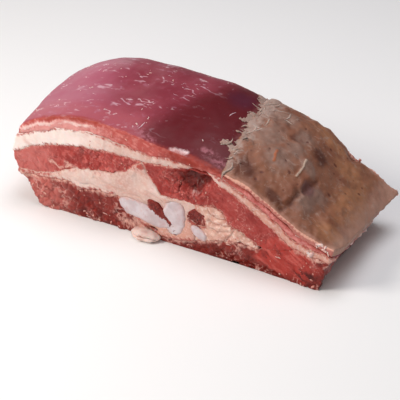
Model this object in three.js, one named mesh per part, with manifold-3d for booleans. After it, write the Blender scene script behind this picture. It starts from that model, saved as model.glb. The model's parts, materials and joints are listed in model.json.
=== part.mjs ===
import * as THREE from 'three';
import { mergeVertices } from 'three/addons/utils/BufferGeometryUtils.js';
import Module from 'manifold-3d';

// A raw block of beef rib, sawn off square and lying on its bone side: a thick end at -X, a thin end at +X.
// The cut that shows the three rib bones faces -Y. Millimetres, +Z up.
//
// Every piece is drawn in the front cut, by its length u and its height h, and is carried back through the
// block by place(), which gives the slab its dome, its bulging thick end and its slightly hollow cuts.

const wasm = await Module();
wasm.setup();

// ---------------------------------------------------------------- driving sizes

const thickEnd = -140;
const thinEnd = 148;
const blockDepth = 114;
const gap = 0.3; // clearance between neighbouring pieces
const cutterReach = 2; // how far a socket's cutter stands out of either cut
const mergeWithin = 1e-4; // corners closer than this are one corner
const roughness = { lean: 0.4, fat: 0.5, bone: 0.4, cap: 0.55 };

const stationStep = 8; // all pieces share these stations, so that their common faces match
const depthStations = [0, 0.06, 0.2, 0.45, 0.7, 0.9, 1];

const frontHollow = 2.5; // how far the middle of the front cut lies behind its ends
const backHollow = 3.5; // and that of the back cut in front of its own
const sway = -14; // how far the ribs and seams drift along the block from front to back
const endReach = 70; // how far in from an end its own shape is felt
const thickCorner = 9; // how much rounder the back corner of the thick end is than the front one
const capStart = 52; // where the fat cap begins

// ---------------------------------------------------------------- lines of the front cut

// A smooth line through [position, value] points that never overshoots them, level beyond both ends.
function lineThrough(points) {
  const secant = (i) => (points[i + 1][1] - points[i][1]) / (points[i + 1][0] - points[i][0]);
  const last = points.length - 1;
  const slope = (i) => {
    if (i === 0 || i === last) return secant(Math.min(i, last - 1));
    const [before, after] = [secant(i - 1), secant(i)];
    return before * after <= 0 ? 0 : (2 * before * after) / (before + after);
  };
  return (x) => {
    if (x <= points[0][0]) return points[0][1];
    if (x >= points[last][0]) return points[last][1];
    const i = points.findIndex((p) => p[0] > x) - 1;
    const [[x0, y0], [x1, y1]] = [points[i], points[i + 1]];
    const width = x1 - x0;
    const t = (x - x0) / width;
    const eased = t * t * (3 - 2 * t);
    const [leaving, arriving] = [t * (1 - t) ** 2, t * t * (t - 1)];
    return y0 + (y1 - y0) * eased + width * (leaving * slope(i) + arriving * slope(i + 1));
  };
}

// Heights of the seams above the base, from the underside to the top.
const base = () => 0;
const ribCrown = lineThrough([
  [-140, 27], [-110, 31], [-92, 33], [-84, 29], [-44, 31], [-28, 14], [-12, 6.5], [12, 5.5],
  [42, 15], [62, 20], [84, 20.5], [92, 22.5], [112, 30], [124, 34],
]);
const lowerFatCrown = lineThrough([
  [-140, 30], [-124, 31.5], [-99, 39], [-80, 48.5], [-64, 48], [-36, 57.5], [-20, 69.2], [-15, 58],
  [-8, 46], [4, 43.5], [29, 44], [48, 49], [60, 33], [70, 31], [84, 23.5], [92, 22.5], [112, 30],
]);
const seamFloor = lineThrough([
  [-140, 47], [-120, 58.5], [-100, 65], [-73, 68.5], [-40, 70.5], [-20, 70], [10, 72], [30, 74],
  [42, 72.5], [58, 65.5], [74, 55.5], [94, 43], [112, 33], [130, 29], [148, 27.5],
]);
const coverFloor = lineThrough([
  [-140, 64], [-120, 72.5], [-100, 79.5], [-70, 82], [-30, 79], [0, 78], [36, 77.5],
  [52, 74], [68, 67], [85, 58], [101, 47], [117, 37.5], [148, 32],
]);
const crest = lineThrough([
  [-140, 75], [-120, 85], [-95, 92], [-70, 95], [-40, 93.5], [0, 87], [30, 84],
  [52, 79], [70, 75], [92, 63], [119, 48], [136, 43], [148, 41],
]);
const capThickness = lineThrough([[52, 1.8], [68, 3], [120, 4.5], [148, 7]]);

// ---------------------------------------------------------------- from the front cut to the whole block

// How much higher than its front edge the top stands, along the block and from front to back.
const domeRise = lineThrough([
  [-140, 12], [-114, 8], [-85, 6.5], [-55, 8.5], [-25, 15], [22, 19], [36, 17],
  [60, 18.5], [98, 25], [112, 19], [122, 10], [135, 4], [148, -12],
]);
const domeShape = lineThrough([[0, 0], [0.1, 0.32], [0.3, 0.72], [0.6, 0.98], [0.85, 1], [1, 0.7]]);

// How far each end stands out beyond its nominal position, by height, and the back corner of the thin end
// beyond that. The thin end hangs over its foot, more so towards the back.
const thickEndBulge = lineThrough([
  [0, 19], [8, 9], [22, 6], [31, -3], [44, -8], [56, -6], [66, 0], [75, 3],
]);
const thinEndOverhang = lineThrough([[0, -15], [14, -11], [24, -6], [33, 0], [40, 2]]);
const thinEndCorner = lineThrough([[16, -4], [40, 6]]);
const overhangAlong = lineThrough([[0, 0.65], [0.2, 1]]);

const endShare = (distance) => Math.max(0, 1 - distance / endReach) ** 2;

function place(u, v, h) {
  const inner = 1 - ((2 * u - thickEnd - thinEnd) / (thinEnd - thickEnd)) ** 2; // 1 midway, 0 at the ends
  const corner = Math.max(0, 2 * v - 1) ** 4; // felt near the back cut only
  const thickShape = thickEndBulge(h) + thickCorner * corner;
  const thinShape = thinEndOverhang(h) * overhangAlong(v) + thinEndCorner(h) * corner;
  const x = u + sway * v * inner + thickShape * endShare(u - thickEnd) + thinShape * endShare(thinEnd - u);
  const y = -blockDepth / 2 + v * blockDepth + inner * (frontHollow * (1 - v) - backHollow * v);
  const z = h * (1 + (domeRise(u) * domeShape(v)) / crest(u));
  return new THREE.Vector3(x, y, z);
}

// ---------------------------------------------------------------- making the pieces

function carried(geometry, toCut) {
  const position = geometry.getAttribute('position');
  const point = new THREE.Vector3();
  for (let i = 0; i < position.count; i++) {
    const { u, v, h } = toCut(point.fromBufferAttribute(position, i));
    const { x, y, z } = place(u, v, h);
    position.setXYZ(i, x, y, z);
  }
  return geometry;
}

// A layer between two seams, from one station to another, running through the whole depth.
function layer({ from = thickEnd, to = thinEnd, floor, top, rows = 1 }) {
  const columns = Math.round((to - from) / stationStep);
  const slices = depthStations.length - 1;
  const box = new THREE.BoxGeometry(1, 1, 1, columns, slices, rows);
  const underside = box.groups.at(-1);
  for (let i = underside.start; i < underside.start + underside.count; i += 6) {
    // Its squares are split along the same diagonal as those of the top below it.
    const [a, b, d, , c] = box.index.array.slice(i, i + 6);
    box.index.array.set([a, b, c, a, c, d], i);
  }
  const first = from === thickEnd ? from : from + gap / 2;
  const last = to === thinEnd ? to : to - gap / 2;
  return carried(box, (p) => {
    const u = THREE.MathUtils.clamp(from + (p.x + 0.5) * (to - from), first, last);
    const low = floor(u) + (floor === base ? 0 : gap / 2);
    const high = top(u) - (top === crest ? 0 : gap / 2);
    return { u, v: depthStations[Math.round((p.y + 0.5) * slices)], h: low + (p.z + 0.5) * (high - low) };
  });
}

// A rounded bar that runs from the front cut to the back one. Its section is a tilted oval: squareness 2 is
// an ellipse and more is boxier, and taper makes one end narrower. Grown, it is the cutter of its own socket.
function bar({ at, half, tilt, squareness = 2, taper = 0, sides = 14 }, grown = false) {
  const swell = grown ? gap : 0;
  const turn = THREE.MathUtils.degToRad(tilt);
  const outline = [];
  for (let i = 0; i < sides; i++) {
    const angle = (i / sides) * 2 * Math.PI;
    const [c, s] = [Math.cos(angle), Math.sin(angle)];
    const round = (value) => Math.sign(value) * Math.abs(value) ** (2 / squareness);
    const along = (half[0] + swell) * round(c);
    const across = (half[1] + swell) * round(s) * (1 - taper * c);
    outline.push(new THREE.Vector2(
      at[0] + along * Math.cos(turn) - across * Math.sin(turn),
      at[1] + along * Math.sin(turn) + across * Math.cos(turn),
    ));
  }
  const slices = depthStations.length - 1;
  const past = grown ? cutterReach / blockDepth : 0;
  const extruded = new THREE.ExtrudeGeometry(new THREE.Shape(outline), {
    depth: 1, steps: slices, bevelEnabled: false,
  });
  return carried(extruded, (p) => {
    const slice = slices - Math.round(p.z * slices);
    const v = slice === 0 ? -past : slice === slices ? 1 + past : depthStations[slice];
    return { u: p.x, v, h: p.y };
  });
}

function solid(geometry) {
  for (const extra of ['normal', 'uv']) geometry.deleteAttribute(extra);
  const merged = mergeVertices(geometry, mergeWithin);
  return new wasm.Manifold(new wasm.Mesh({
    numProp: 3,
    vertProperties: merged.getAttribute('position').array,
    triVerts: new Uint32Array(merged.index.array),
  }));
}

function geometryOf(manifold) {
  const { vertProperties, triVerts } = manifold.getMesh();
  const geometry = new THREE.BufferGeometry();
  geometry.setAttribute('position', new THREE.BufferAttribute(vertProperties, 3));
  geometry.setIndex(new THREE.BufferAttribute(triVerts, 1));
  return geometry;
}

const block = new THREE.Group();

function add(name, manifold, color, tissue) {
  const mesh = new THREE.Mesh(
    geometryOf(manifold),
    new THREE.MeshStandardMaterial({ color, roughness: roughness[tissue], metalness: 0 }),
  );
  mesh.name = name;
  block.add(mesh);
}

// ---------------------------------------------------------------- bones, and the lean wedges between them

const cores = {
  rib_bone_large: {
    at: [-19, 21.8], half: [24, 8.3], tilt: -13, squareness: 2.3, taper: 0.1,
    color: 0xd3c6c6, tissue: 'bone',
  },
  lean_wedge_narrow: {
    at: [-4.5, 26], half: [12.5, 3.8], tilt: -44,
    color: 0x7f2320, tissue: 'lean',
  },
  rib_bone_middle: {
    at: [8.5, 25.5], half: [15.5, 9.8], tilt: 82, squareness: 2.4, taper: -0.05,
    color: 0xd6c2c2, tissue: 'bone',
  },
  rib_bone_small: {
    at: [31, 18.5], half: [7.6, 5], tilt: -22, squareness: 2.2,
    color: 0xdbc8c8, tissue: 'bone',
  },
  lean_wedge_wide: {
    at: [31, 31], half: [8.5, 6], tilt: -24, taper: 0.35,
    color: 0x96302a, tissue: 'lean',
  },
};

const sockets = [];
for (const [name, { color, tissue, ...shape }] of Object.entries(cores)) {
  let piece = solid(bar(shape));
  for (const socket of sockets) piece = piece.subtract(socket);
  add(name, piece, color, tissue);
  sockets.push(solid(bar(shape, true)));
}

// ---------------------------------------------------------------- layers

// The ribs lie in fat: the thick seam of lower fat over and under them, and the loose lobes beside them.
const ribTop = (u) => Math.min(ribCrown(u), seamFloor(u));
const eyeFloor = (u) => Math.max(lowerFatCrown(u), ribCrown(u));
const layers = {
  rib_muscle: { floor: base, top: ribTop, color: 0x8a3a32, tissue: 'lean' },
  lower_fat: { to: 28, floor: ribCrown, top: lowerFatCrown, color: 0xe0bdb0, tissue: 'fat' },
  fat_lobes: { from: 28, to: 84, floor: ribCrown, top: lowerFatCrown, color: 0xd2ab9b, tissue: 'fat' },
  left_muscle: { to: -20, floor: lowerFatCrown, top: seamFloor, rows: 2, color: 0xb0554f, tissue: 'lean' },
  right_muscle: {
    from: -20, to: 116, floor: eyeFloor, top: seamFloor, rows: 2,
    color: 0xa44a44, tissue: 'lean',
  },
  upper_fat: { floor: seamFloor, top: coverFloor, color: 0xeecfc2, tissue: 'fat' },
};
for (const [name, { color, tissue, ...shape }] of Object.entries(layers)) {
  let piece = solid(layer(shape));
  for (const socket of sockets) piece = piece.subtract(socket);
  add(name, piece, color, tissue);
}

// The cover muscle is the smooth top of the thick end, and dips under the fat cap towards the thin end.
const underCap = (u) => crest(u) - (u < capStart ? 0 : capThickness(u));
add('cover_muscle', solid(layer({ floor: coverFloor, top: underCap })), 0x974c5b, 'lean');
add('fat_cap', solid(layer({ from: capStart, floor: underCap, top: crest })), 0x815f4c, 'cap');

// ---------------------------------------------------------------- the loose end of fat at the foot of the cut

const flap = { at: [-17, -58, 4], half: [13.5, 8.5, 4], around: 16, upwards: 8 };
const ball = new THREE.SphereGeometry(1, flap.around, flap.upwards);
const roundFlap = ball.scale(...flap.half).translate(...flap.at);
const behindFlap = layer({ floor: base, top: crest }).translate(0, -gap, 0);
add('fat_flap', solid(roundFlap).subtract(solid(behindFlap)), 0xe2bdaa, 'fat');

// The origin is the middle of the footprint, on the surface that the block lies on.
const box = new THREE.Box3().setFromObject(block);
const middle = box.getCenter(new THREE.Vector3());
block.position.set(-middle.x, -middle.y, -box.min.z);

export default block;
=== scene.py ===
import json
import math
import time

import bmesh
import bpy
import numpy as np
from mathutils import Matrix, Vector
from mathutils.bvhtree import BVHTree

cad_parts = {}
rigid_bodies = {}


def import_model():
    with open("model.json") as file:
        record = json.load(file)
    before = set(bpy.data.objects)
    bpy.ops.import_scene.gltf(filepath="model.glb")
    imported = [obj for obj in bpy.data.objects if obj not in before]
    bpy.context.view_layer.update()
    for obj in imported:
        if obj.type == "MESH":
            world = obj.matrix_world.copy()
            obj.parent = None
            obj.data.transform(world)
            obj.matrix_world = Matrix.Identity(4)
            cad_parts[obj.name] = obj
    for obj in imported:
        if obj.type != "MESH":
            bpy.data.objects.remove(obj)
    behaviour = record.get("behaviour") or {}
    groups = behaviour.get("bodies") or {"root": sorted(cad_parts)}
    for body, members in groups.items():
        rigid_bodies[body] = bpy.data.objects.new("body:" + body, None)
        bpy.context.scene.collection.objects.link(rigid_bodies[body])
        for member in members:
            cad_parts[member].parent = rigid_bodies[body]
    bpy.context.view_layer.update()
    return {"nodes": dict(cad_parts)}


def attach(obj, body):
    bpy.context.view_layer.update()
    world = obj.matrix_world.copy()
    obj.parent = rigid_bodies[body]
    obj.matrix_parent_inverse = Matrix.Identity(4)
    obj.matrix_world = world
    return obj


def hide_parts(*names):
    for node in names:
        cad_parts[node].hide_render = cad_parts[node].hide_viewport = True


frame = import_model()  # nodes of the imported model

scene = bpy.context.scene
mm = 0.001  # sizes below are in millimetres
started = time.time()


def say(text):
    print(f"{time.time() - started:5.1f} s  {text}")


# Colours, nodes and objects

def fromHex(code):  # an sRGB hex colour as the linear colour that shaders take
    parts = [int(code[i:i + 2], 16) / 255 for i in (1, 3, 5)]
    return (*[c / 12.92 if c <= 0.04045 else ((c + 0.055) / 1.055) ** 2.4 for c in parts], 1)


def addNode(tree, kind, inputs=None, **settings):
    node = tree.nodes.new(kind)
    for setting, value in settings.items():
        setattr(node, setting, value)
    for key, value in (inputs or {}).items():
        if isinstance(value, bpy.types.NodeSocket):
            tree.links.new(value, node.inputs[key])
        else:
            node.inputs[key].default_value = value
    return node


def addObject(name, data):
    thing = bpy.data.objects.new(name, data)
    scene.collection.objects.link(thing)
    return thing


# Repeatable noise on points given in mm

def chance(cell, seed):  # a number from 0 to 1 for each whole-numbered cell
    x, y, z = np.moveaxis(cell.astype(np.int64), -1, 0)
    mixed = (x * 374761393 + y * 668265263 + z * 1442695041 + seed * 1274126177) & 0xFFFFFFFF
    mixed = ((mixed ^ (mixed >> 13)) * 1103515245) & 0xFFFFFFFF
    mixed = ((mixed ^ (mixed >> 16)) * 69069) & 0xFFFFFFFF
    return ((mixed ^ (mixed >> 15)) & 0xFFFFFF) / 0xFFFFFF


def ripple(points, size, seed=0, octaves=1):  # soft waves from about -1 to 1, about size mm across
    total, weight = np.zeros(len(points)), 1.0
    for octave in range(octaves):
        place = points * (2 ** octave / size) + 17.3 * (seed + octave)
        cell = np.floor(place)
        inside = place - cell
        fade = inside ** 3 * (inside * (inside * 6 - 15) + 10)
        for corner in np.ndindex(2, 2, 2):
            turn = chance(cell + corner, 2 * seed) * 2 * np.pi
            rise = chance(cell + corner, 2 * seed + 1) * 2 - 1
            flat = np.sqrt(1 - rise ** 2)
            slope = np.stack([flat * np.cos(turn), flat * np.sin(turn), rise], -1)
            share = np.prod(np.where(corner, fade, 1 - fade), -1)
            total += weight * 1.6 * ((inside - corner) * slope).sum(-1) * share
        weight /= 2
    return total


def grains(points, size, seed=0):  # (0 in the middle of a grain to 1 on its border, the grain's own number)
    place = points / size
    home = np.floor(place)
    nearest, second = np.full(len(points), 9.0), np.full(len(points), 9.0)
    own = np.zeros(len(points))
    for step in np.ndindex(3, 3, 3):
        cell = home + step - 1
        seedPoint = cell + np.stack([chance(cell, seed + axis) for axis in (1, 2, 3)], -1)
        away = np.linalg.norm(place - seedPoint, axis=-1)
        closer = away < nearest
        second = np.where(closer, nearest, np.minimum(second, away))
        own = np.where(closer, chance(cell, seed + 4), own)
        nearest = np.minimum(nearest, away)
    return nearest / np.maximum(second, 1e-6), own


def ramp(low, high, value):  # 0 below low, 1 above high, eased between; low may be the larger
    share = np.clip((value - low) / (high - low), 0, 1)
    return share * share * (3 - 2 * share)


def spot(flat, middle, reach):  # 1 in the middle of an oval, 0 from its rim on
    away = np.sqrt((((flat - middle) / reach) ** 2).sum(-1))
    return ramp(1, 0, away)


def spots(flat, ovals):  # ovals as (middle, reach)
    return np.maximum.reduce([spot(flat, *oval) for oval in ovals])


def alongPaths(flat, paths, width):  # 1 on lines through points, 0 from width mm away on
    best = np.full(len(flat), np.inf)
    for path in paths:
        for start, end in zip(np.array(path[:-1], float), np.array(path[1:], float)):
            run = end - start
            share = np.clip(((flat - start) @ run) / (run @ run), 0, 1)
            best = np.minimum(best, np.linalg.norm(flat - start - share[:, None] * run, axis=-1))
    return ramp(width, 0, best)


def drift(points, size, *seeds):  # a soft shift in two directions, so that borders and lines wander
    return np.stack([ripple(points, size, seed) for seed in seeds], -1)


# Camera, lights and floor

view = {
    "azimuth": 29, "elevation": 31.5, "away": 1000,  # degrees, degrees, mm
    "target": (18.9, -33.2, 38),  # what the middle of the picture shows
    "pictureWidth": 400, "mmPerPixel": 0.806,  # at the target
}


def setCamera():
    turn, rise = math.radians(view["azimuth"]), math.radians(view["elevation"])
    back = Vector((math.sin(turn) * math.cos(rise), -math.cos(turn) * math.cos(rise), math.sin(rise)))
    data = bpy.data.cameras.new("camera")
    data.lens = data.sensor_width * view["away"] / (view["pictureWidth"] * view["mmPerPixel"])
    data.clip_start, data.clip_end = 0.05, 20
    camera = addObject("camera", data)
    camera.location = (Vector(view["target"]) + view["away"] * back) * mm
    camera.rotation_euler = back.to_track_quat("Z", "Y").to_euler()
    scene.camera = camera


softboxes = {  # where each stands and how wide it is (mm), its power (W) and colour
    "keyLeft": {"at": (-620, -640, 720), "width": 420, "watts": 8.5, "colour": "#fff8f0"},
    "overhead": {"at": (80, 100, 1100), "width": 700, "watts": 6.5, "colour": "#fafaff"},
    "backLeft": {"at": (-1300, 1150, 520), "width": 900, "watts": 3.5, "colour": "#fff6f8"},
    "frontFill": {"at": (200, -1300, 350), "width": 700, "watts": 2.5, "colour": "#fffaf4"},
}
lightsAim = (0, 0, 40)  # mm
room = {"colour": "#fbfbfc", "strength": 0.22}


def setLights():
    for name, box in softboxes.items():
        data = bpy.data.lights.new(name, "AREA")
        data.energy, data.size = box["watts"], box["width"] * mm
        data.color = fromHex(box["colour"])[:3]
        light = addObject(name, data)
        light.location = Vector(box["at"]) * mm
        back = light.location - Vector(lightsAim) * mm
        light.rotation_euler = back.to_track_quat("Z", "Y").to_euler()
    world = bpy.data.worlds.new("paleRoom")
    scene.world = world
    world.use_nodes = True
    shader = world.node_tree.nodes["Background"]
    shader.inputs["Color"].default_value = fromHex(room["colour"])
    shader.inputs["Strength"].default_value = room["strength"]


ground = {"half": 6000, "colour": "#f1f1f1", "roughness": 0.9}  # mm; matt paint, nearly white


def setFloor():
    data = bpy.data.meshes.new("floor")
    half = ground["half"] * mm
    corners = [(-half, -half, 0), (half, -half, 0), (half, half, 0), (-half, half, 0)]
    data.from_pydata(corners, [], [(0, 1, 2, 3)])
    floor = addObject("floor", data)
    paint = bpy.data.materials.new("palePaintedFloor")
    paint.use_nodes = True
    shader = paint.node_tree.nodes["Principled BSDF"]
    shader.inputs["Base Color"].default_value = fromHex(ground["colour"])
    shader.inputs["Roughness"].default_value = ground["roughness"]
    data.materials.append(paint)


scene.view_settings.view_transform = "Standard"
setCamera()
setLights()
setFloor()
say("camera, lights and floor")


# Wet tissue as a material: two base colours in soft patches, then layers painted over them one by one.
# A layer has a colour, the size of its noise in mm, and the span of values over which it comes in. It may
# have more: strength, bump (mm), roughness, warp (mm), grain (degrees up from +X, and how much longer than
# wide), patches (mm, and the span of the noise that picks them) and within (attributes that it keeps to).

def painted(name, colour, size, ragged, span, **more):  # where an attribute says, its border ragged
    return {"kind": "painted", "from": name, "colour": colour, "size": size, "ragged": ragged,
            "span": span, **more}


def cloud(colour, size, span, **more):
    return {"kind": "cloud", "colour": colour, "size": size, "span": span, **more}


def wisps(colour, size, span, **more):  # thin winding lines, where a noise passes its middle
    return {"kind": "wisps", "colour": colour, "size": size, "span": span, **more}


def dots(colour, size, span, share, **more):  # in that share of the noise's cells
    return {"kind": "dots", "colour": colour, "size": size, "span": span, "share": share, **more}


noiseDetail = {"base": 4.0, "painted": 4.0, "cloud": 3.0, "wisps": 2.0, "warp": 1.0, "patches": 3.0}
noiseRoughness = {"painted": 0.62}  # and otherwise
plainRoughness = 0.55


def noiseInputs(place, size, use):
    return {
        "Vector": place, "Scale": 1 / (size * mm), "Detail": noiseDetail[use],
        "Roughness": noiseRoughness.get(use, plainRoughness),
    }


def maskOf(tree, place, layer):  # 0 to 1: how much of the layer shows
    kind, size = layer["kind"], layer["size"]
    turn, stretch = layer.get("grain", (0, 1))
    if stretch != 1:
        place = addNode(tree, "ShaderNodeMapping", {
            "Vector": place, "Rotation": (0, -math.radians(turn), 0), "Scale": (stretch, 1, 1),
        }, vector_type="TEXTURE").outputs[0]
    if "warp" in layer:
        drift = addNode(tree, "ShaderNodeTexNoise", noiseInputs(place, size * 1.7, "warp")).outputs["Color"]
        centred = addNode(tree, "ShaderNodeVectorMath", {0: drift, 1: (0.5,) * 3}, operation="SUBTRACT")
        place = addNode(tree, "ShaderNodeVectorMath", {
            0: centred.outputs[0], 1: (layer["warp"] * mm,) * 3, 2: place,
        }, operation="MULTIPLY_ADD").outputs[0]
    shares = [layer.get("strength", 1.0)]
    if kind == "dots":
        cell = addNode(tree, "ShaderNodeTexVoronoi", {"Vector": place, "Scale": 1 / (size * mm)}).outputs
        value = cell["Distance"]
        picked = addNode(tree, "ShaderNodeSeparateColor", {"Color": cell["Color"]}).outputs[0]
        shares.append(addNode(tree, "ShaderNodeMath", {0: picked, 1: layer["share"]},
                              operation="LESS_THAN").outputs[0])
    else:
        value = addNode(tree, "ShaderNodeTexNoise", noiseInputs(place, size, kind)).outputs["Fac"]
    if kind == "painted":
        where = addNode(tree, "ShaderNodeAttribute", attribute_name=layer["from"]).outputs["Fac"]
        value = addNode(tree, "ShaderNodeMath", {0: value, 1: layer["ragged"], 2: where},
                        operation="MULTIPLY_ADD").outputs[0]
    elif kind == "wisps":
        centred = addNode(tree, "ShaderNodeMath", {0: value, 1: 0.5}, operation="SUBTRACT").outputs[0]
        value = addNode(tree, "ShaderNodeMath", {0: centred}, operation="ABSOLUTE").outputs[0]
    spans = [(value, *layer["span"])]
    if "patches" in layer:
        patch, low, high = layer["patches"]
        noise = addNode(tree, "ShaderNodeTexNoise", noiseInputs(place, patch, "patches")).outputs["Fac"]
        spans.append((noise, low, high))
    for value, low, high in spans:
        shares.append(addNode(tree, "ShaderNodeMapRange", {
            "Value": value, "From Min": low, "From Max": high,
        }, interpolation_type="SMOOTHSTEP").outputs[0])
    for name in layer.get("within", ()):
        shares.append(addNode(tree, "ShaderNodeAttribute", attribute_name=name).outputs["Fac"])
    mask = shares[0]
    for share in shares[1:]:
        mask = addNode(tree, "ShaderNodeMath", {0: mask, 1: share}, operation="MULTIPLY").outputs[0]
    return mask


def wetTissue(name, look):
    material = bpy.data.materials.new(name)
    material.use_nodes = True
    tree = material.node_tree
    shader = tree.nodes["Principled BSDF"]
    place = addNode(tree, "ShaderNodeTexCoord").outputs["Object"]
    patches = addNode(tree, "ShaderNodeTexNoise", noiseInputs(place, look["patch"], "base")).outputs["Fac"]
    second = addNode(tree, "ShaderNodeMapRange", {
        "Value": patches, "From Min": 0.35, "From Max": 0.65,
    }, interpolation_type="SMOOTHSTEP").outputs[0]
    colour = addNode(tree, "ShaderNodeMix", {
        0: second, 6: fromHex(look["colours"][0]), 7: fromHex(look["colours"][1]),
    }, data_type="RGBA").outputs[2]
    roughness = addNode(tree, "ShaderNodeMapRange", {
        "Value": patches, "From Min": 0.3, "From Max": 0.7,
        "To Min": look["roughness"][0], "To Max": look["roughness"][1],
    }).outputs[0]
    height = 0.0
    for layer in look["layers"]:
        mask = maskOf(tree, place, layer)
        colour = addNode(tree, "ShaderNodeMix", {
            0: mask, 6: colour, 7: fromHex(layer["colour"]),
        }, data_type="RGBA").outputs[2]
        if "roughness" in layer:
            roughness = addNode(tree, "ShaderNodeMix", {
                0: mask, 2: roughness, 3: layer["roughness"],
            }).outputs[0]
        if "bump" in layer:  # down if negative
            height = addNode(tree, "ShaderNodeMath", {
                0: mask, 1: layer["bump"] * mm, 2: height,
            }, operation="MULTIPLY_ADD").outputs[0]
    bump = addNode(tree, "ShaderNodeBump", {"Height": height, "Distance": 1.0, "Strength": 1.0}).outputs[0]
    for label, socket in (("Normal", bump), ("Base Color", colour), ("Roughness", roughness)):
        tree.links.new(socket, shader.inputs[label])
    for label, value in (
        ("IOR", 1.37),  # moist tissue
        ("Specular IOR Level", look.get("shine", 0.35)),
        ("Coat Weight", look["wet"]), ("Coat Roughness", look["wetRoughness"]), ("Coat IOR", 1.33),  # water
        ("Subsurface Weight", look["glow"]), ("Subsurface Scale", look["depth"] * mm),
        ("Subsurface Radius", (1.0, 0.35, 0.25)),  # red light goes deepest
    ):
        shader.inputs[label].default_value = value
    return material


# From a CAD solid to a fine skin of even faces that can be worked like clay

def readSkin(piece):
    mesh = piece.data
    points, normals = np.empty(len(mesh.vertices) * 3), np.empty(len(mesh.vertices) * 3)
    mesh.vertices.foreach_get("co", points)
    mesh.vertices.foreach_get("normal", normals)
    return points.reshape(-1, 3) / mm, normals.reshape(-1, 3)


def writeSkin(piece, points):
    piece.data.vertices.foreach_set("co", (points * mm).ravel())
    piece.data.update()


def paint(piece, name, values):
    layer = piece.data.attributes.new(name, "FLOAT", "POINT")
    layer.data.foreach_set("value", np.clip(values, 0, 1).astype(np.float32))


def settle(piece):  # the mesh that the modifiers give, with no modifier left
    evaluated = piece.evaluated_get(bpy.context.evaluated_depsgraph_get())
    finished = bpy.data.meshes.new_from_object(evaluated)
    piece.modifiers.clear()
    piece.data = finished
    return piece


def fineSkin(spec):
    mesh = frame["nodes"][spec["node"]].data.copy()
    mesh.materials.clear()
    shape = bmesh.new()
    shape.from_mesh(mesh)
    bmesh.ops.remove_doubles(shape, verts=shape.verts, dist=0.01 * mm)
    if spec.get("round"):
        bmesh.ops.join_triangles(
            shape, faces=shape.faces, angle_face_threshold=0.5, angle_shape_threshold=1.5)
        crease = shape.edges.layers.float.new("crease_edge")
        for edge in shape.edges:
            if edge.calc_face_angle(0) > math.radians(45):
                edge[crease] = 1.0
    shape.to_mesh(mesh)
    shape.free()
    piece = addObject(spec["name"], mesh)
    if spec.get("round"):
        smooth = piece.modifiers.new("round", "SUBSURF")
        smooth.levels = smooth.render_levels = 2
    skin = piece.modifiers.new("skin", "REMESH")
    skin.mode, skin.voxel_size, skin.use_smooth_shade = "VOXEL", spec["voxel"] * mm, True
    soften = piece.modifiers.new("soften", "SMOOTH")
    soften.factor, soften.iterations = 0.5, spec["soften"]
    return settle(piece)


def surfaceOf(pieces):
    corners, faces = [], []
    for piece in pieces:
        faces += [[len(corners) + number for number in face.vertices] for face in piece.data.polygons]
        corners += [vertex.co.copy() for vertex in piece.data.vertices]
    return BVHTree.FromPolygons(corners, faces)


fatSurface, leanSurface = (surfaceOf(frame["nodes"][name] for name in names) for names in (
    ("upper_fat", "lower_fat", "fat_lobes"),
    ("cover_muscle", "left_muscle", "right_muscle", "rib_muscle", "lean_wedge_narrow", "lean_wedge_wide"),
))


def near(surface, points, where, reach):  # 1 on that surface, 0 from reach mm away on; only where it is asked
    share = np.zeros(len(points))
    for number in np.flatnonzero(where > 0.2):
        away = surface.find_nearest(Vector(points[number]) * mm, reach * mm)[3]
        if away is not None:
            share[number] = 1 - away / (reach * mm)
    return share


endStart = 125  # mm from the middle: past it, faces that look along X are the block's ends


def cutShare(points, normals):  # 1 on the sawn cuts and the ends, 0 where a piece meets others or looks up
    ends = np.abs(normals[:, 0]) * ramp(endStart, endStart + 8, np.abs(points[:, 0]))
    return ramp(0.5, 0.8, np.maximum(np.abs(normals[:, 1]), ends))


def frontShare(points):
    return ramp(-20, -40, points[:, 1])


def sawnWave(points):  # the cuts aren't flat, and all pieces follow the same waves
    return 1.2 * ripple(points, 38, 5) + 0.7 * ripple(points, 14, 6)


def wander(points):  # borders between tissues wander, and all pieces follow the same drift
    away = np.zeros_like(points)
    for axis, seed in ((0, 1), (2, 3)):
        away[:, axis] = 1.7 * ripple(points, 15, seed) + 0.8 * ripple(points, 5, seed + 30)
    return away * ramp(0.5, 6, points[:, 2])[:, None]


halfLength = 160  # mm, a little more than the block's own


def sliceOf(points, width):  # the number of the slice across the block, width mm thick, that each point is in
    return ((points[:, 0] + halfLength) / width).astype(int)


def edgeDistance(points, upward):  # mm back from the sawn edges, for points on the upper side
    y = points[:, 1]
    slices = sliceOf(points, 4)
    low, high = np.full(slices.max() + 1, np.inf), np.full(slices.max() + 1, -np.inf)
    np.minimum.at(low, slices[upward], points[upward, 1])
    np.maximum.at(high, slices[upward], points[upward, 1])
    return np.minimum(y - low[slices], high[slices] - y)


def depthBelow(points, cut):  # mm below the piece's upper edge, on a cut
    slices = 2 * sliceOf(points, 3) + (points[:, 1] > 0)
    top = np.full(slices.max() + 1, -np.inf)
    on = cut > 0.5
    np.maximum.at(top, slices[on], points[on, 2])
    return top[slices] - points[:, 2]


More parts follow.
